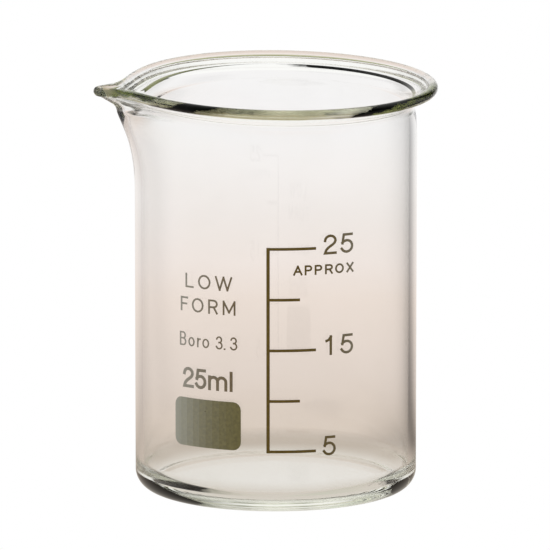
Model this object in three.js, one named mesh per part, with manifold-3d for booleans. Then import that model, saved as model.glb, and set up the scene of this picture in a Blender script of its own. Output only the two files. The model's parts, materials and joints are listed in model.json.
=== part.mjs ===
// 25 ml low-form laboratory beaker: one blown borosilicate glass body with fired enamel markings.
// Millimetres, +Z up. The origin is on the axis at the underside, the spout points to -X and the
// graduated scale faces -Y.
import * as THREE from 'three';
import { mergeVertices } from 'three/addons/utils/BufferGeometryUtils.js';
import Module from 'manifold-3d';

const wasm = await Module();
wasm.setup();

const rad = THREE.MathUtils.degToRad;

// Driving dimensions: straight wall, base and heel.
const BODY_R = 17; // outside radius of the wall
const WALL = 0.9;
const FLOOR_Z = 1.4; // base thickness
const HEEL_R = 2.3; // outside heel
const HEEL_R_IN = 2.5; // inside heel
const BORE_R = BODY_R - WALL;

// Flared lip. The wall bends outwards, runs on as a short straight flange and ends in a round bead.
// The bead's centre runs at LIP_R and LIP_Z, slightly oval and slightly out of level, as on a
// hand-finished lip.
const LIP_R = 19.2;
const LIP_Z = 49.3;
const LIP_OVAL = 0.3; // narrower across the spout, wider front to back
const LIP_RISE_X = -0.017; // rise of the lip per mm towards +X
const LIP_RISE_Y = 0.025; // rise of the lip per mm towards +Y
const BEAD_R = 0.6; // radius of the fire-polished edge
const FLARE_R = 1.6; // bend radius of the wall's middle
const FLARE_TURN = 60; // degrees

// Spout: a pointed reach outwards with a dip, and shoulders drawn in on both sides of it.
const SPOUT_REACH = 3.2;
const SPOUT_SPREAD = 4.8; // degrees from the middle to half the reach, at the lip
const SHOULDER_DRAW = 1.0;
const SHOULDER_AT = 26; // degrees from the spout's middle
const SHOULDER_SPREAD = 50; // degrees
const SPOUT_DIP = 1.2;
const DIP_SPREAD = 18; // degrees
const THROAT_Z = 35.5; // height where the wall starts to lean into the spout
const THROAT_POWER = 2.5;
const THROAT_SPREAD = 28; // degrees that the reach is wider at the foot of the throat

// Graduated scale, every 5 ml, with the long lines at 5, 15 and 25 ml.
const TICK_STEP_ML = 5;
const TICK_COUNT = 5;
const SCALE_X = -0.92; // arc length from the -Y side to the middle of the upright
const UPRIGHT_WIDTH = 0.4;
const TICK_WIDTH = 0.34;
const LONG_TICK = 5.75;
const SHORT_TICK = 3.8;

// Enamel film, kept just clear of the glass.
const FILM_GAP = 0.02;
const FILM = 0.06;

// Mesh fineness.
const BODY_SIDES = 96;
const SIDE_CROWDING = 0.7; // how far the sides are moved towards the spout
const ARC_STEP = 22.5; // degrees of a lettering arc per facet
const BEND_STEP = 1; // longest facet of a line that wraps around the body

const glass = { color: 0xe6e0d6, roughness: 0.03, metalness: 0, transparent: true, opacity: 0.35 };
const scaleEnamel = { color: 0x63552f, roughness: 0.55, metalness: 0 };
const greyEnamel = { color: 0x80776a, roughness: 0.6, metalness: 0 };
const patchEnamel = { color: 0x86857a, roughness: 0.85, metalness: 0 };

const beaker = new THREE.Group();

function addMesh(name, geometry, material) {
  const mesh = new THREE.Mesh(geometry, new THREE.MeshStandardMaterial(material));
  mesh.name = name;
  beaker.add(mesh);
}

// ---- Glass body: a lathed section, then pushed out of round for the lip and the spout ----

function arcPoints(cx, cy, r, from, to, steps) {
  const points = [];
  for (let i = 0; i <= steps; i++) {
    const a = rad(from + ((to - from) * i) / steps);
    points.push(new THREE.Vector2(cx + r * Math.cos(a), cy + r * Math.sin(a)));
  }
  return points;
}

const wallMid = BODY_R - WALL / 2;
const flareTurn = rad(FLARE_TURN);
const flangeLength =
  (LIP_R - wallMid - FLARE_R * (1 - Math.cos(flareTurn))) / Math.sin(flareTurn);
const flareZ = LIP_Z - FLARE_R * Math.sin(flareTurn) - flangeLength * Math.cos(flareTurn);

// One face of the flare and its flange, up to the bead: side 1 is outside, side -1 is inside.
function flarePoints(side, steps) {
  const half = (side * WALL) / 2;
  const points = [];
  for (let i = 0; i <= steps; i++) {
    const t = (flareTurn * i) / steps;
    const reach = FLARE_R * (1 - Math.cos(t)) + half * Math.cos(t);
    points.push(new THREE.Vector2(wallMid + reach, flareZ + (FLARE_R - half) * Math.sin(t)));
  }
  return points;
}

function throatPoints(r, steps) {
  const points = [];
  for (let i = 0; i < steps; i++) {
    points.push(new THREE.Vector2(r, THROAT_Z + ((flareZ - THROAT_Z) * i) / steps));
  }
  return points;
}

function bodySection() {
  // The flange, thinner than the bead, runs into it where the two outlines meet.
  const meet = THREE.MathUtils.radToDeg(Math.asin(WALL / 2 / BEAD_R));
  const outward = 90 - FLARE_TURN;
  const bead = arcPoints(LIP_R, LIP_Z, BEAD_R, outward - 180 + meet, outward + 180 - meet, 10);
  return [
    new THREE.Vector2(0, 0),
    ...arcPoints(BODY_R - HEEL_R, HEEL_R, HEEL_R, -90, 0, 5),
    ...throatPoints(BODY_R, 5),
    ...flarePoints(1, 4),
    ...bead,
    ...flarePoints(-1, 4).reverse(),
    ...throatPoints(BORE_R, 5).reverse(),
    ...arcPoints(BORE_R - HEEL_R_IN, FLOOR_Z + HEEL_R_IN, HEEL_R_IN, 0, -90, 5),
    new THREE.Vector2(0, FLOOR_Z),
  ];
}

const bell = (degrees, middle, spread) => Math.exp(-(((degrees - middle) / spread) ** 2));
const peak = (degrees, spread) => 1 / (1 + (degrees / spread) ** 2);

// Moves the lathed sides round towards the spout, where the shape turns fastest, then gives the
// wall its throat, spout, oval and tilt.
function shapeLip(geometry) {
  const p = geometry.attributes.position;
  for (let i = 0; i < p.count; i++) {
    const side = Math.atan2(p.getY(i), -p.getX(i));
    const azimuth = side - SIDE_CROWDING * Math.sin(side); // from the spout's middle
    const off = Math.abs(THREE.MathUtils.radToDeg(azimuth));
    let r = Math.hypot(p.getX(i), p.getY(i));
    let z = p.getZ(i);
    if (z > THROAT_Z) {
      const weight = Math.min(1, (z - THROAT_Z) / (flareZ - THROAT_Z)) ** THROAT_POWER;
      const spread = SPOUT_SPREAD + THROAT_SPREAD * (1 - weight);
      r += weight * SPOUT_REACH * peak(off, spread);
      r -= weight * SHOULDER_DRAW * bell(off, SHOULDER_AT, SHOULDER_SPREAD);
      r -= weight ** 4 * LIP_OVAL * Math.cos(2 * azimuth);
      z += weight * (LIP_RISE_Y * r * Math.sin(azimuth) - LIP_RISE_X * r * Math.cos(azimuth));
      z -= weight * SPOUT_DIP * peak(off, DIP_SPREAD);
    }
    p.setXYZ(i, -r * Math.cos(azimuth), r * Math.sin(azimuth), z);
  }
}

const body = new THREE.LatheGeometry(bodySection(), BODY_SIDES);
body.rotateX(Math.PI / 2);
shapeLip(body);
body.computeVertexNormals();
addMesh('glass_body', body, glass);

// ---- Enamel: flat strokes joined as solids, then wrapped around the body ----
// Strokes are drawn in the plane x = arc length, y = height, with z = 0 to 1 through the film.

function toSolid(geometry) {
  geometry.deleteAttribute('normal');
  geometry.deleteAttribute('uv');
  const merged = mergeVertices(geometry);
  const mesh = new wasm.Mesh({
    numProp: 3,
    vertProperties: new Float32Array(merged.attributes.position.array),
    triVerts: new Uint32Array(merged.index.array),
  });
  return new wasm.Manifold(mesh);
}

function toGeometry(solid) {
  const mesh = solid.getMesh();
  const geometry = new THREE.BufferGeometry();
  geometry.setAttribute('position', new THREE.BufferAttribute(mesh.vertProperties, 3));
  geometry.setIndex(new THREE.BufferAttribute(mesh.triVerts, 1));
  return geometry;
}

function wrap(geometry, film = FILM, gap = FILM_GAP) {
  const p = geometry.attributes.position;
  for (let i = 0; i < p.count; i++) {
    const a = p.getX(i) / BODY_R;
    const r = BODY_R + gap + film * p.getZ(i);
    p.setXYZ(i, r * Math.sin(a), -r * Math.cos(a), p.getY(i));
  }
  geometry.computeVertexNormals();
  return geometry;
}

// The points of a stroke and, at each, the sideways offset of a band of unit width (mitred).
function trace(points, closed) {
  const n = points.length;
  return points.map((point, i) => {
    const before = points[closed ? (i + n - 1) % n : Math.max(i - 1, 0)];
    const after = points[closed ? (i + 1) % n : Math.min(i + 1, n - 1)];
    const a = point.clone().sub(before).normalize();
    const b = after.clone().sub(point).normalize();
    if (a.length() === 0) a.copy(b);
    if (b.length() === 0) b.copy(a);
    const tangent = a.clone().add(b).normalize();
    const mitre = 1 / Math.max(tangent.dot(a), 0.4);
    return { point, side: new THREE.Vector2(-tangent.y, tangent.x).multiplyScalar(mitre / 2) };
  });
}

// A band of the given width along the points: a bent box, or a bent ring when it is closed.
function band(points, width, closed) {
  const steps = trace(points, closed);
  const put = (p, i, at, side, depth) => {
    const { point, side: out } = steps[at % steps.length];
    p.setXYZ(i, point.x + out.x * side * width, point.y + out.y * side * width, depth);
  };
  if (closed) {
    const corners = [[1, 0], [-1, 0], [-1, 1], [1, 1], [1, 0]];
    const profile = corners.map(([side, depth]) => new THREE.Vector2(2 - side, depth));
    const geometry = new THREE.LatheGeometry(profile, steps.length);
    const p = geometry.attributes.position;
    for (let i = 0; i < p.count; i++) {
      put(p, i, Math.floor(i / corners.length), ...corners[i % corners.length]);
    }
    return geometry;
  }
  const last = steps.length - 1;
  const geometry = new THREE.BoxGeometry(last, 2, 1, last, 1, 1);
  geometry.translate(last / 2, 0, 0.5);
  const p = geometry.attributes.position;
  for (let i = 0; i < p.count; i++) put(p, i, Math.round(p.getX(i)), p.getY(i), p.getZ(i));
  return geometry;
}

// Stroke pieces in a glyph's box: x and y run from 0 to 1 between the middles of its edge strokes.
const line = (...xy) => {
  const points = [];
  for (let i = 0; i < xy.length; i += 2) points.push(new THREE.Vector2(xy[i], xy[i + 1]));
  return points;
};
const arc = (cx, cy, rx, ry, from, to) => {
  const curve = new THREE.EllipseCurve(cx, cy, rx, ry, rad(from), rad(to), to < from);
  return curve.getPoints(Math.ceil(Math.abs(to - from) / ARC_STEP));
};
const sweep = (...xy) => new THREE.CubicBezierCurve(...line(...xy)).getPoints(6);
const ring = () => Object.assign(arc(0.5, 0.5, 0.5, 0.5, 360, 0).slice(0, -1), { closed: true });

const UPRIGHT = line(0, 0, 0, 1);
const GLYPHS = {
  1: [line(0, 0.76, 0.5, 0.81, 1, 0.98), line(1, 0, 1, 1)],
  2: [[...arc(0.5, 0.72, 0.5, 0.28, 180, 0), ...sweep(1, 0.72, 0.95, 0.42, 0.1, 0.42, 0, 0).slice(1),
    ...line(1, 0)]],
  3: [arc(0.48, 0.76, 0.44, 0.24, 165, -90), arc(0.48, 0.27, 0.52, 0.27, 90, -160)],
  5: [line(0.95, 1, 0.2, 1, 0.08, 0.5), arc(0.48, 0.33, 0.52, 0.33, 142, -155)],
  A: [line(0, 0, 0.5, 1), line(1, 0, 0.5, 1), line(0.2, 0.34, 0.8, 0.34)],
  B: [UPRIGHT, [...line(0, 1), ...arc(0.55, 0.765, 0.36, 0.235, 90, -90), ...line(0, 0.53)],
    [...line(0, 0.53), ...arc(0.55, 0.265, 0.45, 0.265, 90, -90), ...line(0, 0)]],
  F: [line(0, 0, 0, 1, 1, 1), line(0, 0.52, 0.85, 0.52)],
  L: [line(0, 1, 0, 0, 1, 0)],
  M: [UPRIGHT, line(0, 1, 0.5, 0.15), line(1, 1, 0.5, 0.15), line(1, 0, 1, 1)],
  O: [ring()],
  P: [UPRIGHT, [...line(0, 1), ...arc(0.6, 0.735, 0.4, 0.265, 90, -90), ...line(0, 0.47)]],
  R: [UPRIGHT, [...line(0, 1), ...arc(0.6, 0.735, 0.4, 0.265, 90, -90), ...line(0, 0.47)],
    line(0.6, 0.47, 1, 0)],
  W: [line(0, 1, 0.25, 0), line(0.5, 1, 0.25, 0), line(0.5, 1, 0.75, 0), line(1, 1, 0.75, 0)],
  X: [line(0, 0, 1, 1), line(1, 0, 0, 1)],
  l: [UPRIGHT],
  m: [UPRIGHT, [...arc(0.25, 0.66, 0.25, 0.34, 180, 0), ...line(0.5, 0)],
    [...arc(0.75, 0.66, 0.25, 0.34, 180, 0), ...line(1, 0)]],
  o: [ring()],
  r: [UPRIGHT, sweep(0, 0.55, 0.15, 0.9, 0.5, 1, 1, 0.96)],
  '.': [line(0, 0, 1, 0)],
};

// Stroke points at their place in the enamel plane, with square ends half a width long.
function place(stroke, left, bottom, width, height, weight) {
  const points = stroke.map(
    ({ x, y }) =>
      new THREE.Vector2(
        left + weight / 2 + x * (width - weight),
        bottom + weight / 2 + y * (height - weight),
      ),
  );
  if (stroke.closed) return points;
  const n = points.length - 1;
  const start = points[0].clone().sub(points[1]).setLength(weight / 2).add(points[0]);
  const end = points[n].clone().sub(points[n - 1]).setLength(weight / 2).add(points[n]);
  return [start, ...points.slice(1, -1), end];
}

function glyph(character, left, bottom, width, height, weight) {
  const solids = GLYPHS[character].map((stroke) => {
    const points = place(stroke, left, bottom, width, height, weight);
    return toSolid(band(points, weight, stroke.closed));
  });
  return wrap(toGeometry(solids.reduce((a, b) => a.add(b))));
}

// A line of lettering. Each entry is [node name, character, left edge, width, height].
function lettering(entries, bottom, weight, material) {
  for (const [name, character, left, width, height] of entries) {
    addMesh(name, glyph(character, left, bottom, width, height, weight), material);
  }
}

// Height of a filling: the bore's area, allowing for what the rounded inside heel takes away.
function fillHeight(ml) {
  const heelRadius = BORE_R - (HEEL_R_IN * (10 - 3 * Math.PI)) / (12 - 3 * Math.PI);
  const heelVolume = 2 * Math.PI * heelRadius * (1 - Math.PI / 4) * HEEL_R_IN ** 2;
  return FLOOR_Z + (ml * 1000 + heelVolume) / (Math.PI * BORE_R ** 2);
}

const tickZ = (tick) => fillHeight((tick + 1) * TICK_STEP_ML);

// Upright and ticks are one film. The upright is a little thicker, so no two faces coincide.
function graduationScale() {
  const low = tickZ(0) - TICK_WIDTH / 2;
  const high = tickZ(TICK_COUNT - 1) + TICK_WIDTH / 2;
  const upright = band(line(SCALE_X, low - 0.01, SCALE_X, high + 0.01), UPRIGHT_WIDTH);
  let solid = toSolid(wrap(upright, FILM, FILM_GAP));
  for (let tick = 0; tick < TICK_COUNT; tick++) {
    const length = tick % 2 === 0 ? LONG_TICK : SHORT_TICK;
    const facets = Math.ceil(length / BEND_STEP);
    const points = [];
    for (let i = 0; i <= facets; i++) {
      points.push(new THREE.Vector2(SCALE_X + (length * i) / facets, tickZ(tick)));
    }
    solid = solid.add(toSolid(wrap(band(points, TICK_WIDTH), FILM - 0.02, FILM_GAP + 0.01)));
  }
  const geometry = toGeometry(solid);
  geometry.computeVertexNormals();
  return geometry;
}
addMesh('graduation_scale', graduationScale(), scaleEnamel);

// Numbers at the long lines, standing a little above them.
const DIGIT_H = 2.4;
const DIGIT_LEFT = 5.8;
const DIGIT_WEIGHT = 0.31;
const digitZ = (tick) => tickZ(tick) - 0.75;
lettering(
  [['number_25_digit_2', '2', DIGIT_LEFT, 1.65, DIGIT_H],
    ['number_25_digit_5', '5', DIGIT_LEFT + 2.15, 1.75, DIGIT_H]],
  digitZ(4) - 0.08, DIGIT_WEIGHT, scaleEnamel,
);
lettering(
  [['number_15_digit_1', '1', DIGIT_LEFT + 0.2, 0.85, DIGIT_H],
    ['number_15_digit_5', '5', DIGIT_LEFT + 2.15, 1.75, DIGIT_H]],
  digitZ(2), DIGIT_WEIGHT, scaleEnamel,
);
lettering(
  [['number_5_digit_5', '5', DIGIT_LEFT - 0.12, 1.68, DIGIT_H]],
  digitZ(0) + 0.08, DIGIT_WEIGHT, scaleEnamel,
);

// Accuracy note under the top number.
const NOTE_H = 1.2;
lettering(
  [['approx_a', 'A', 2.06, 1.12, NOTE_H], ['approx_p1', 'P', 3.44, 0.92, NOTE_H],
    ['approx_p2', 'P', 4.66, 0.94, NOTE_H], ['approx_r', 'R', 5.95, 1.0, NOTE_H],
    ['approx_o', 'O', 7.24, 1.16, NOTE_H], ['approx_x', 'X', 8.76, 0.98, NOTE_H]],
  tickZ(4) - 3.2, 0.22, scaleEnamel,
);

// Left-hand block, from the bottom: marking patch, capacity, glass type, form.
const PATCH_LEFT = -13.25;
const PATCH_W = 9.05;
const PATCH_H = 5.85;
const PATCH_Z = 7.75;
const PATCH_CORNER = 0.95;

function markingPatch() {
  const cornerSteps = 4;
  const flatSteps = 8;
  const columns = 2 * cornerSteps + flatSteps;
  const geometry = new THREE.BoxGeometry(columns, 2, 1, columns, 1, 1);
  const p = geometry.attributes.position;
  const flat = PATCH_W / 2 - PATCH_CORNER;
  for (let i = 0; i < p.count; i++) {
    const column = p.getX(i);
    const beyond = Math.max(Math.abs(column) - flatSteps / 2, 0) / cornerSteps;
    const turn = beyond * (Math.PI / 2);
    const x = Math.min(Math.abs(column) / (flatSteps / 2), 1) * flat + PATCH_CORNER * Math.sin(turn);
    const half = PATCH_H / 2 - PATCH_CORNER * (1 - Math.cos(turn));
    p.setXYZ(
      i,
      PATCH_LEFT + PATCH_W / 2 + Math.sign(column) * x,
      PATCH_Z + PATCH_H / 2 + p.getY(i) * half,
      p.getZ(i) + 0.5,
    );
  }
  return wrap(geometry);
}
addMesh('marking_patch', markingPatch(), patchEnamel);

lettering(
  [['capacity_2', '2', -12.0, 1.6, 2.5], ['capacity_5', '5', -10.22, 1.6, 2.45],
    ['capacity_m', 'm', -8.38, 2.5, 1.8], ['capacity_l', 'l', -5.58, 0.36, 2.45]],
  14.83, 0.37, greyEnamel,
);

lettering(
  [['glass_type_b', 'B', -12.5, 0.98, 1.7], ['glass_type_o1', 'o', -11.18, 0.9, 1.15],
    ['glass_type_r', 'r', -9.9, 0.5, 1.15], ['glass_type_o2', 'o', -9.16, 0.92, 1.15],
    ['glass_type_3a', '3', -7.35, 0.88, 1.6], ['glass_type_point', '.', -6.33, 0.22, 0.18],
    ['glass_type_3b', '3', -5.52, 0.9, 1.6]],
  19.88, 0.18, greyEnamel,
);

const FORM_H = 1.75;
lettering(
  [['form_mark_l', 'L', -11.6, 1.2, FORM_H], ['form_mark_o', 'O', -9.75, 1.7, FORM_H],
    ['form_mark_w', 'W', -7.45, 2.2, FORM_H]],
  27.0, 0.22, greyEnamel,
);
lettering(
  [['form_mark_f', 'F', -12.35, 1.1, FORM_H], ['form_mark_o_lower', 'O', -10.65, 1.65, FORM_H],
    ['form_mark_r', 'R', -8.35, 1.25, FORM_H], ['form_mark_m', 'M', -6.45, 1.6, FORM_H]],
  24.1, 0.22, greyEnamel,
);

export default beaker;
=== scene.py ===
"""The 25 ml beaker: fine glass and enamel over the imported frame. Metres, spout to -X, scale to -Y."""

import json
import math

import bmesh
import bpy
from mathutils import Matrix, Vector

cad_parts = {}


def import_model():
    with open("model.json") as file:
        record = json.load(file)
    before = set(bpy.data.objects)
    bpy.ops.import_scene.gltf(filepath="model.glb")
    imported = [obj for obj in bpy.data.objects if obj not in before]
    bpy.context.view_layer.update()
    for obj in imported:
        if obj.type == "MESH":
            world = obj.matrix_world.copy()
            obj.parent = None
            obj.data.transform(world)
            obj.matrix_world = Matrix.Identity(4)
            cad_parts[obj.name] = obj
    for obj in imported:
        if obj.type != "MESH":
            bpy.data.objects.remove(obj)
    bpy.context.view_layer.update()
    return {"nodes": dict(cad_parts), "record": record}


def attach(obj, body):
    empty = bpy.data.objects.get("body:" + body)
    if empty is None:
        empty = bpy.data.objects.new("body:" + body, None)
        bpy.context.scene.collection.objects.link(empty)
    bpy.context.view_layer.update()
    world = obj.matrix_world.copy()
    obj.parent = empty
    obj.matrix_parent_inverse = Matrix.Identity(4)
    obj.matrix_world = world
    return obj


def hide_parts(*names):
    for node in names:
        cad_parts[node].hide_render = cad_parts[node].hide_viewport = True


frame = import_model()

MM = 0.001

# ---- Driving dimensions, in millimetres, as in the CAD model ----
BODY_R, WALL, FLOOR_Z = 17.0, 0.9, 1.4
HEEL_R, HEEL_R_IN = 2.3, 2.5
BORE_R = BODY_R - WALL

LIP_R, LIP_Z, LIP_OVAL = 19.2, 49.3, 0.3
LIP_RISE_X, LIP_RISE_Y = -0.017, 0.025
BEAD_R, FLARE_R, FLARE_TURN = 0.6, 1.6, math.radians(60)
SPOUT_REACH, SPOUT_SPREAD, SPOUT_DIP, DIP_SPREAD = 3.2, 4.8, 1.2, 18.0
SHOULDER_DRAW, SHOULDER_AT, SHOULDER_SPREAD = 1.0, 26.0, 50.0
THROAT_Z, THROAT_POWER, THROAT_SPREAD = 35.5, 2.5, 28.0

BODY_SIDES = 256
HEEL_STEPS, THROAT_STEPS, BEND_STEPS, BEAD_STEPS = 16, 28, 14, 32
SIDE_CROWDING = 0.7
# The top of the inner bend, where it meets the flange, gets a painted dark line for the dark reflection
# seen there.
FOLD_STEPS = 3

# ---- Small helpers ----


def new_object(name, bm, material, smooth=True):
    """A finished bmesh, in metres, as a piece that rides on the root body."""
    mesh = bpy.data.meshes.new(name)
    bm.to_mesh(mesh)
    bm.free()
    mesh.polygons.foreach_set("use_smooth", [smooth] * len(mesh.polygons))
    mesh.materials.append(material)
    piece = bpy.data.objects.new(name, mesh)
    bpy.context.scene.collection.objects.link(piece)
    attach(piece, "root")
    return piece


def node_material(name):
    """A new material with its tree and its Principled shader."""
    material = bpy.data.materials.new(name)
    material.use_nodes = True
    tree = material.node_tree
    return material, tree, tree.nodes["Principled BSDF"]


def put(tree, socket, value):
    """Links a socket to another node's output, or sets its own value."""
    if isinstance(value, bpy.types.NodeSocket):
        tree.links.new(value, socket)
    elif socket.type == "RGBA":
        socket.default_value = (*value, 1)
    else:
        socket.default_value = value


def node(tree, kind, inputs, output=0, **settings):
    """Adds one node and gives back the output that is wanted."""
    made = tree.nodes.new("ShaderNode" + kind)
    for key, value in settings.items():
        setattr(made, key, value)
    for key, value in inputs.items():
        put(tree, made.inputs[key], value)
    return made.outputs[output]


def maths(tree, operation, a, b=0.0):
    return node(tree, "Math", {0: a, 1: b}, operation=operation)


def smooth(tree, value, start, end, low=0.0, high=1.0):
    """Goes smoothly from low to high as the value goes from start to end."""
    sockets = {0: value, 1: start, 2: end, 3: low, 4: high}
    return node(tree, "MapRange", sockets, interpolation_type="SMOOTHSTEP")


def mixed(tree, amount, a, b, kind="MIX"):
    return node(tree, "Mix", {0: amount, 6: a, 7: b}, output=2, data_type="RGBA", blend_type=kind)


def ramp(tree, value, stops):
    """A colour ramp. Each stop is a place from 0 to 1 and a colour."""
    made = tree.nodes.new("ShaderNodeValToRGB")
    points = made.color_ramp.elements
    for place, colour in stops[len(points) :]:
        points.new(place)
    for point, (place, colour) in zip(points, stops):
        point.position = place
        point.color = (*colour, 1)
    tree.links.new(value, made.inputs["Fac"])
    return made.outputs["Color"]


def in_object(tree):
    return node(tree, "TexCoord", {}, output="Object")


def noise(tree, size, detail=3.0):
    """Noise from 0 to 1 whose features are about this many millimetres wide."""
    sockets = {"Vector": in_object(tree), "Scale": 1 / (size * MM), "Detail": detail}
    return node(tree, "TexNoise", sockets)


def bump(tree, height, relief, strength=1.0):
    """A normal from a height of 0 to 1 that stands this many millimetres tall."""
    sockets = {"Height": height, "Distance": relief * MM, "Strength": strength}
    return node(tree, "Bump", sockets)


# ---- Glass body ----


def arc(cx, cy, r, start, end, steps):
    """Points on a circle, from start to end in degrees."""
    angles = [math.radians(start + (end - start) * i / steps) for i in range(steps + 1)]
    return [(cx + r * math.cos(a), cy + r * math.sin(a)) for a in angles]


WALL_MID = BODY_R - WALL / 2
FLANGE = (LIP_R - WALL_MID - FLARE_R * (1 - math.cos(FLARE_TURN))) / math.sin(FLARE_TURN)
FLARE_Z = LIP_Z - FLARE_R * math.sin(FLARE_TURN) - FLANGE * math.cos(FLARE_TURN)


def flare(side, steps):
    """One face of the lip's bend, side 1 outside and -1 inside."""
    half = side * WALL / 2
    points = []
    for i in range(steps + 1):
        t = FLARE_TURN * i / steps
        reach = FLARE_R * (1 - math.cos(t)) + half * math.cos(t)
        points.append((WALL_MID + reach, FLARE_Z + (FLARE_R - half) * math.sin(t)))
    return points


def throat(r, steps):
    """The part of the wall that leans into the spout."""
    return [(r, THROAT_Z + (FLARE_Z - THROAT_Z) * i / steps) for i in range(steps)]


def body_section():
    """The body's half section, up the outside, over the bead and down the inside."""
    meet = math.degrees(math.asin(WALL / 2 / BEAD_R))
    outward = 90 - math.degrees(FLARE_TURN)
    return [
        *arc(BODY_R - HEEL_R, HEEL_R, HEEL_R, -90, 0, HEEL_STEPS),
        *throat(BODY_R, THROAT_STEPS),
        *flare(1, BEND_STEPS),
        *arc(LIP_R, LIP_Z, BEAD_R, outward - 180 + meet, outward + 180 - meet, BEAD_STEPS),
        *flare(-1, BEND_STEPS)[::-1],
        *throat(BORE_R, THROAT_STEPS)[::-1],
        *arc(BORE_R - HEEL_R_IN, FLOOR_Z + HEEL_R_IN, HEEL_R_IN, 0, -90, HEEL_STEPS),
    ]


def bell(x, middle, spread):
    return math.exp(-(((x - middle) / spread) ** 2))


def peak(x, spread):
    return 1 / (1 + (x / spread) ** 2)


def shaped(r, z, azimuth):
    """A section point at an azimuth (radians from the spout), moved for the lip and the spout."""
    if z > THROAT_Z:
        off = abs(math.degrees(azimuth))
        weight = min(1, (z - THROAT_Z) / (FLARE_Z - THROAT_Z)) ** THROAT_POWER
        r += weight * SPOUT_REACH * peak(off, SPOUT_SPREAD + THROAT_SPREAD * (1 - weight))
        r -= weight * SHOULDER_DRAW * bell(off, SHOULDER_AT, SHOULDER_SPREAD)
        r -= weight**4 * LIP_OVAL * math.cos(2 * azimuth)
        z += weight * r * (LIP_RISE_Y * math.sin(azimuth) - LIP_RISE_X * math.cos(azimuth))
        z -= weight * SPOUT_DIP * peak(off, DIP_SPREAD)
    return Vector((-r * math.cos(azimuth), r * math.sin(azimuth), z)) * MM


def glass_body(materials):
    """The whole body in one mesh, with materials for the wall, the outer heel, the bead and the fold."""
    bm = bmesh.new()
    bead_start = HEEL_STEPS + 1 + THROAT_STEPS + BEND_STEPS + 1
    fold_start = bead_start + BEAD_STEPS + 1
    rings = []
    for i in range(BODY_SIDES):
        side = math.tau * i / BODY_SIDES - math.pi
        azimuth = side - SIDE_CROWDING * math.sin(side)
        rings.append([bm.verts.new(shaped(r, z, azimuth)) for r, z in body_section()])
    for a, b in zip(rings, rings[1:] + rings[:1]):
        for j in range(len(a) - 1):
            face = bm.faces.new((a[j], a[j + 1], b[j + 1], b[j]))
            on_bead = bead_start <= j < bead_start + BEAD_STEPS
            on_fold = fold_start <= j < fold_start + FOLD_STEPS
            face.material_index = 1 if j < HEEL_STEPS else 2 if on_bead else 3 if on_fold else 0
    for end, height in ((0, 0), (-1, FLOOR_Z)):
        middle = bm.verts.new((0, 0, height * MM))
        for a, b in zip(rings, rings[1:] + rings[:1]):
            bm.faces.new((a[end], b[end], middle))
    bmesh.ops.recalc_face_normals(bm, faces=bm.faces)
    piece = new_object("beaker_glass", bm, materials[0])
    for material in materials[1:]:
        piece.data.materials.append(material)
    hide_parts("glass_body")


# ---- Materials ----

WHITE = (1, 1, 1)
# The painted shade and reflections of the heel and the bead are full on the scale's side and gone on the
# far side.
PAINTED_TONE_SIDE_FADE = (-3 * MM, 3 * MM)
GLASS_IOR = 1.474
NEARLY_CLEAR = (0.985, 0.985, 0.98)
CLEAR_SPAN, HAZE_SPAN = 9, 2.5
# The glass is a little hazy where it is drawn out into the spout, past this X and above this height.
DRAWN_X, DRAWN_Z = (-17.1 * MM, -18.2 * MM), (40 * MM, 43 * MM)
DRAWN_HAZE = 0.15
# The thick edges give back less of the room's light than the wall does.
EDGE_GLINT = (0.05, 0.06, 0.04)
# Thick glass gets painted reflections and shade along its length: green, black and white stand in
# for the room seen in it, and olive is partly the glass's own tint, partly painted. Each tone is at an X
# in millimetres.
TONE_SPAN, TONE_WANDER, WANDER_SIZE = 22.0, 5.0, 1.6
# A heel's painted shade and highlights fade to clear between these shares of the height where they end.
TONE_TOP_FADE = (0.85, 1.1)
OLIVE, GREEN, DARK = (0.72, 0.71, 0.52), (0.07, 0.11, 0.015), (0, 0, 0)
# Painted shade and highlights: the black arcs stand in for shade seen through the heel, white for
# highlights.
HEEL_PAINTED_SHADE_AND_HIGHLIGHTS = (
    (-17, DARK),
    (-9.5, DARK),
    (-7.5, (0.4, 0.43, 0.38)),
    (-4, (0.9, 0.92, 0.88)),
    (7, (0.85, 0.95, 0.87)),
    (12.4, WHITE),
    (13.4, DARK),
    (16, DARK),
    (17, (0.5, 0.5, 0.48)),
)
# Painted reflections over a partly real olive tint: green, black and white stand in for the room seen in
# the bead.
BEAD_TINT_AND_PAINTED_REFLECTIONS = (
    (-21, OLIVE),
    (-19, OLIVE),
    (-18.2, GREEN),
    (-15.4, GREEN),
    (-14.4, (0.9, 0.92, 0.85)),
    (-13, OLIVE),
    (-11.4, DARK),
    (-7.5, DARK),
    (-5, (0.15, 0.14, 0.08)),
    (-3, OLIVE),
    (7.5, OLIVE),
    (9, WHITE),
    (10.6, (0.9, 0.9, 0.85)),
    (12.8, DARK),
    (15.4, DARK),
    (16.6, (0.15, 0.19, 0.03)),
    (18.8, (0.09, 0.12, 0.015)),
    (20.5, WHITE),
)
# A painted dark line in the fold, for the dark reflection seen there, with clear glass on either side.
FOLD_PAINTED_DARK_LINE = ((-2.5, WHITE), (0.5, DARK), (12.2, DARK), (14, WHITE))
# Waves and haze of the plain wall: wave width and depth in millimetres, then the haze.
WALL_FINISH = (7, 0.004, (0.66, 0.78, 0, 0.02))
GLASS_DEPTH_COLOUR = (0.6, 0.62, 0.35)
GLASS_DEPTH_DENSITY = 7.0

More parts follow.
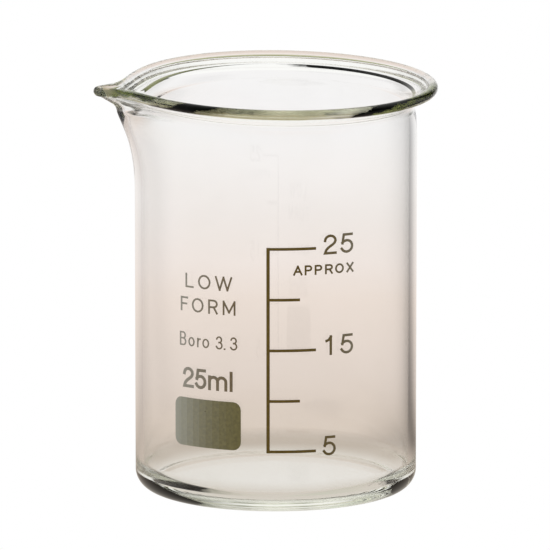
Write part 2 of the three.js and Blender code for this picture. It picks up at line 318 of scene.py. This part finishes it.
# Between these two slants, from 0 facing the eye to 1 edge on, enamel goes from its own colour towards a
# pale painted sheen.
ENAMEL_SLANT = (0.02, 0.46)
ENAMEL_SHEEN_SHARE = 0.68
ENAMEL_SHEEN_COLOUR = (0.55, 0.59, 0.58)
ENAMEL_DARKER, ENAMEL_LIGHTER = 0.8, 1.15
ENAMEL_GLOSS = 0.3
ROUGHNESS_RANGE = 0.06
PIT_COLOUR = (0.02, 0.018, 0.01)
PIT_CORE = 0.4
# Pits in the patch: X, height and radius in millimetres.
PATCH_PITS = ((-8.4, 12.2, 0.14), (-6.6, 9.6, 0.11))


def glass_material(name, wave_size, waves, haze, painted_tone_stops=None, slant=0, top=0, far=False):
    """Clear borosilicate: faint waves, a little haze in places, greenish only over a long path.

    The waves have a width and a depth in millimetres. The haze goes from its third number to its
    fourth as a noise goes from its first to its second. Tones along X, painted reflections and shade
    that stand in for the room seen in thick glass, lean by the slant, and end at the top, a height in
    millimetres that falls off towards the middle of the scale's side. They are on the scale's side,
    or on the far side instead.
    """
    material, tree, shader = node_material(name)
    shader.inputs["Transmission Weight"].default_value = 1
    shader.inputs["IOR"].default_value = GLASS_IOR
    x = node(tree, "SeparateXYZ", {0: in_object(tree)}, output="X")
    y, z = x.node.outputs["Y"], x.node.outputs["Z"]
    clearness = ramp(tree, noise(tree, CLEAR_SPAN), [(0.35, NEARLY_CLEAR), (0.65, WHITE)])
    if painted_tone_stops:
        shader.inputs["Specular Tint"].default_value = (*EDGE_GLINT, 1)
        wander = maths(tree, "SUBTRACT", noise(tree, WANDER_SIZE), 0.5)
        wander = maths(tree, "MULTIPLY", wander, TONE_WANDER * MM)
        rise = maths(tree, "MULTIPLY", maths(tree, "SUBTRACT", z, LIP_Z * MM), slant)
        along = maths(tree, "SUBTRACT", maths(tree, "ADD", x, wander), rise)
        along = smooth(tree, along, -TONE_SPAN * MM, TONE_SPAN * MM)
        along.node.interpolation_type = "LINEAR"
        stops = [((mm + TONE_SPAN) / (2 * TONE_SPAN), colour) for mm, colour in painted_tone_stops]
        # Painted light and shade: these tones stand in for reflections, highlights and shade seen in
        # thick glass.
        painted_light_and_shade = ramp(tree, along, stops)
        if top:
            aside = maths(tree, "POWER", maths(tree, "DIVIDE", x, BODY_R * MM), 2)
            height = maths(tree, "DIVIDE", z, maths(tree, "MULTIPLY", aside, top * MM))
            painted_light_and_shade = mixed(tree, smooth(tree, height, *TONE_TOP_FADE), painted_light_and_shade, WHITE)
        start, end = PAINTED_TONE_SIDE_FADE[::-1] if far else PAINTED_TONE_SIDE_FADE
        clearness = mixed(tree, smooth(tree, y, start, end), painted_light_and_shade, clearness)
    put(tree, shader.inputs["Base Color"], clearness)
    drawn = maths(tree, "MULTIPLY", smooth(tree, x, *DRAWN_X), smooth(tree, z, *DRAWN_Z))
    drawn = maths(tree, "MULTIPLY", drawn, 0 if painted_tone_stops else DRAWN_HAZE)
    rough = maths(tree, "MAXIMUM", drawn, smooth(tree, noise(tree, HAZE_SPAN), *haze))
    put(tree, shader.inputs["Roughness"], rough)
    put(tree, shader.inputs["Normal"], bump(tree, noise(tree, wave_size, 1), waves))
    depth = {"Color": GLASS_DEPTH_COLOUR, "Density": GLASS_DEPTH_DENSITY}
    path = node(tree, "VolumeAbsorption", depth)
    tree.links.new(path, tree.nodes["Material Output"].inputs["Volume"])
    return material


def enamel_material(name, colour, roughness, pits=()):
    """Fired enamel: mottled, slightly uneven, with a painted sheen that makes it paler where it is seen
    at a slant.
    """
    material, tree, shader = node_material(name)
    darker = tuple(ENAMEL_DARKER * c for c in colour)
    lighter = tuple(ENAMEL_LIGHTER * c for c in colour)
    mottled = ramp(tree, noise(tree, 0.35), [(0.3, darker), (0.7, lighter)])
    # Painted sheen: the colour goes pale where the enamel is seen at a slant.
    facing = node(tree, "LayerWeight", {"Blend": 0.5}, output="Facing")
    slant = smooth(tree, facing, *ENAMEL_SLANT)
    colour_with_sheen_and_pits = mixed(tree, maths(tree, "MULTIPLY", slant, ENAMEL_SHEEN_SHARE), mottled, ENAMEL_SHEEN_COLOUR)
    for x, z, radius in pits:
        place = Vector((x, -math.sqrt(BODY_R**2 - x**2), z)) * MM
        ends = {0: in_object(tree), 1: place}
        away = node(tree, "VectorMath", ends, output="Value", operation="DISTANCE")
        pit = smooth(tree, away, PIT_CORE * radius * MM, radius * MM, 1, 0)
        colour_with_sheen_and_pits = mixed(tree, pit, colour_with_sheen_and_pits, PIT_COLOUR)
    shader.inputs["Specular IOR Level"].default_value = ENAMEL_GLOSS
    put(tree, shader.inputs["Base Color"], colour_with_sheen_and_pits)
    smoothest, roughest = roughness - ROUGHNESS_RANGE, roughness + ROUGHNESS_RANGE
    rough = smooth(tree, noise(tree, 0.2), 0.3, 0.7, smoothest, roughest)
    put(tree, shader.inputs["Roughness"], rough)
    put(tree, shader.inputs["Normal"], bump(tree, noise(tree, 0.15), 0.01, 0.6))
    return material


glass_body(
    (
        glass_material("borosilicate_glass", *WALL_FINISH),
        glass_material("borosilicate_heel", 3, 0.01, (0.6, 0.8, 0, 0.05), HEEL_PAINTED_SHADE_AND_HIGHLIGHTS, top=3.4),
        glass_material("borosilicate_bead", 1.2, 0.05, (0.3, 0.7, 0.02, 0.2), BEAD_TINT_AND_PAINTED_REFLECTIONS, slant=4),
        glass_material("borosilicate_fold", *WALL_FINISH, FOLD_PAINTED_DARK_LINE, slant=-6, far=True),
    )
)
by_slot = {
    "scale_enamel": enamel_material("scale_enamel", (0.1, 0.064, 0.004), 0.55),
    "text_enamel": enamel_material("text_enamel", (0.145, 0.106, 0.055), 0.55),
    "patch_enamel": enamel_material("patch_enamel", (0.135, 0.12, 0.042), 0.6, PATCH_PITS),
}
for part in frame["record"]["subparts"]:
    if part["material_slot"] in by_slot:
        cad_mesh = frame["nodes"][part["node"]].data
        cad_mesh.materials.clear()
        cad_mesh.materials.append(by_slot[part["material_slot"]])


# ---- Stage: white to the camera, and a warm graded table and a room when seen through the glass ----

TABLE_SPAN = 300.0
# How bright the table looks through the glass, by the distance from the beaker's axis in millimetres;
# the dark stop at 20 is a painted shadow round the beaker's foot.
TABLE_TONES = (
    (0, (0.68, 0.64, 0.585)),
    (16, (0.66, 0.61, 0.54)),
    (20, (0.52, 0.45, 0.38)),
    (35, (0.7, 0.6, 0.515)),
    (70, (0.77, 0.675, 0.61)),
    (121, (0.855, 0.753, 0.685)),
    (147, (0.89, 0.81, 0.765)),
    (185, (0.89, 0.84, 0.81)),
    (223, (0.93, 0.9, 0.885)),
    (265, (0.925, 0.915, 0.915)),
)
# The table is darker on these headings. Each is a heading and its spread in degrees, and an amount.
TABLE_SHADES = ((48, 34, 0.72), (-50, 34, 0.25))
# That shade comes in between these distances, in millimetres.
SHADE_START = (18, 36)
FLOOR_R, FLOOR_SIDES = 1.5, 96
FLOOR_DROP = 0.02
SPECKLE = (0.985, 0.985, 0.985)

ROOM_TONE = (0.97, 0.97, 0.95)
ROOM_DARK = (0.03, 0.035, 0.008)
# Darker parts of the room: heading and spread in degrees, and an amount.
ROOM_DARKS = ((34, 30, 1.0), (105, 45, 0.9), (-38, 22, 0.9))
# They fade out between these two heights of the direction looked in, from 0 level to 1 straight up.
ROOM_DARK_TOP = (0.75, 0.45)


def heading(tree, x, y):
    """Degrees round from straight behind the beaker, positive to its right."""
    turn = node(tree, "Math", {0: x, 1: y}, operation="ARCTAN2")
    return maths(tree, "MULTIPLY", turn, math.degrees(1))


def lobe(tree, angle, middle, spread):
    """1 at the middle heading, fading to 0 at this many degrees on either side."""
    off = maths(tree, "ABSOLUTE", maths(tree, "SUBTRACT", angle, middle))
    return smooth(tree, off, spread, 0)


def stage():
    """A glowing table, plain white to the camera, with painted light and shade when seen through the
    glass.
    """
    bm = bmesh.new()
    bmesh.ops.create_circle(bm, cap_ends=True, radius=FLOOR_R, segments=FLOOR_SIDES)
    mesh = bpy.data.meshes.new("floor")
    bm.to_mesh(mesh)
    bm.free()
    material, tree, shader = node_material("floor_white")
    place = node(tree, "SeparateXYZ", {0: in_object(tree)}, output="X")
    x, y = place, place.node.outputs["Y"]
    reach = node(tree, "VectorMath", {0: in_object(tree)}, output="Value", operation="LENGTH")
    reach = maths(tree, "MULTIPLY", reach, 1 / (TABLE_SPAN * MM))
    tone = ramp(tree, reach, [(mm / TABLE_SPAN, colour) for mm, colour in TABLE_TONES])
    angle = heading(tree, x, y)
    shade = 0.0
    for middle, spread, amount in TABLE_SHADES:
        part = maths(tree, "MULTIPLY", lobe(tree, angle, middle, spread), amount)
        shade = maths(tree, "ADD", shade, part)
    start, end = (mm / TABLE_SPAN for mm in SHADE_START)
    shade = maths(tree, "MULTIPLY", shade, smooth(tree, reach, start, end))
    tone = mixed(tree, shade, tone, DARK)
    speckle = ramp(tree, noise(tree, 4), [(0.3, SPECKLE), (0.7, WHITE)])
    tone = mixed(tree, 1.0, tone, speckle, "MULTIPLY")
    seen = node(tree, "LightPath", {}, output="Is Camera Ray")
    tone = mixed(tree, seen, tone, WHITE)
    glow = node(tree, "Emission", {"Color": tone, "Strength": 1.0})
    tree.links.new(glow, tree.nodes["Material Output"].inputs["Surface"])
    tree.nodes.remove(shader)
    mesh.materials.append(material)
    floor = bpy.data.objects.new("floor", mesh)
    floor.location.z = -FLOOR_DROP * MM
    bpy.context.scene.collection.objects.link(floor)


def world():
    """White all round and above, with darker, greenish parts of the room behind and to the sides."""
    scene = bpy.context.scene
    scene.world = bpy.data.worlds.new("studio")
    scene.world.use_nodes = True
    tree = scene.world.node_tree
    x = node(tree, "SeparateXYZ", {0: node(tree, "TexCoord", {}, output="Generated")}, output="X")
    y, z = x.node.outputs["Y"], x.node.outputs["Z"]
    angle = heading(tree, x, y)
    low = smooth(tree, z, *ROOM_DARK_TOP)
    tone = ROOM_TONE
    for middle, spread, amount in ROOM_DARKS:
        dark = maths(tree, "MULTIPLY", lobe(tree, angle, middle, spread), amount)
        tone = mixed(tree, maths(tree, "MULTIPLY", dark, low), tone, ROOM_DARK)
    seen = node(tree, "LightPath", {}, output="Is Camera Ray")
    tone = mixed(tree, seen, tone, WHITE)
    tree.links.new(tone, tree.nodes["Background"].inputs["Color"])


CAMERA_ELEVATION = math.radians(10.7)
CAMERA_DISTANCE = 1.0
CAMERA_TARGET = Vector((-0.0966, 0, 25.95)) * MM
SENSOR, LENS = 36, 541.8
CAMERA_REACH = 20


def camera():
    """The main view: level across, looking down a little at the scale's side."""
    back = Vector((0, -math.cos(CAMERA_ELEVATION), math.sin(CAMERA_ELEVATION)))
    data = bpy.data.cameras.new("camera")
    data.sensor_width = SENSOR
    data.lens = LENS
    data.clip_end = CAMERA_REACH
    cam = bpy.data.objects.new("camera", data)
    cam.location = CAMERA_TARGET + back * CAMERA_DISTANCE
    cam.rotation_euler = (-back).to_track_quat("-Z", "Y").to_euler()
    bpy.context.scene.collection.objects.link(cam)
    bpy.context.scene.camera = cam


# Light runs a long way round inside the bead before it comes out.
BOUNCES = 96

stage()
world()
camera()
scene = bpy.context.scene
scene.view_settings.view_transform = "Standard"
scene.cycles.max_bounces = BOUNCES
scene.cycles.transmission_bounces = BOUNCES
scene.cycles.glossy_bounces = BOUNCES // 2
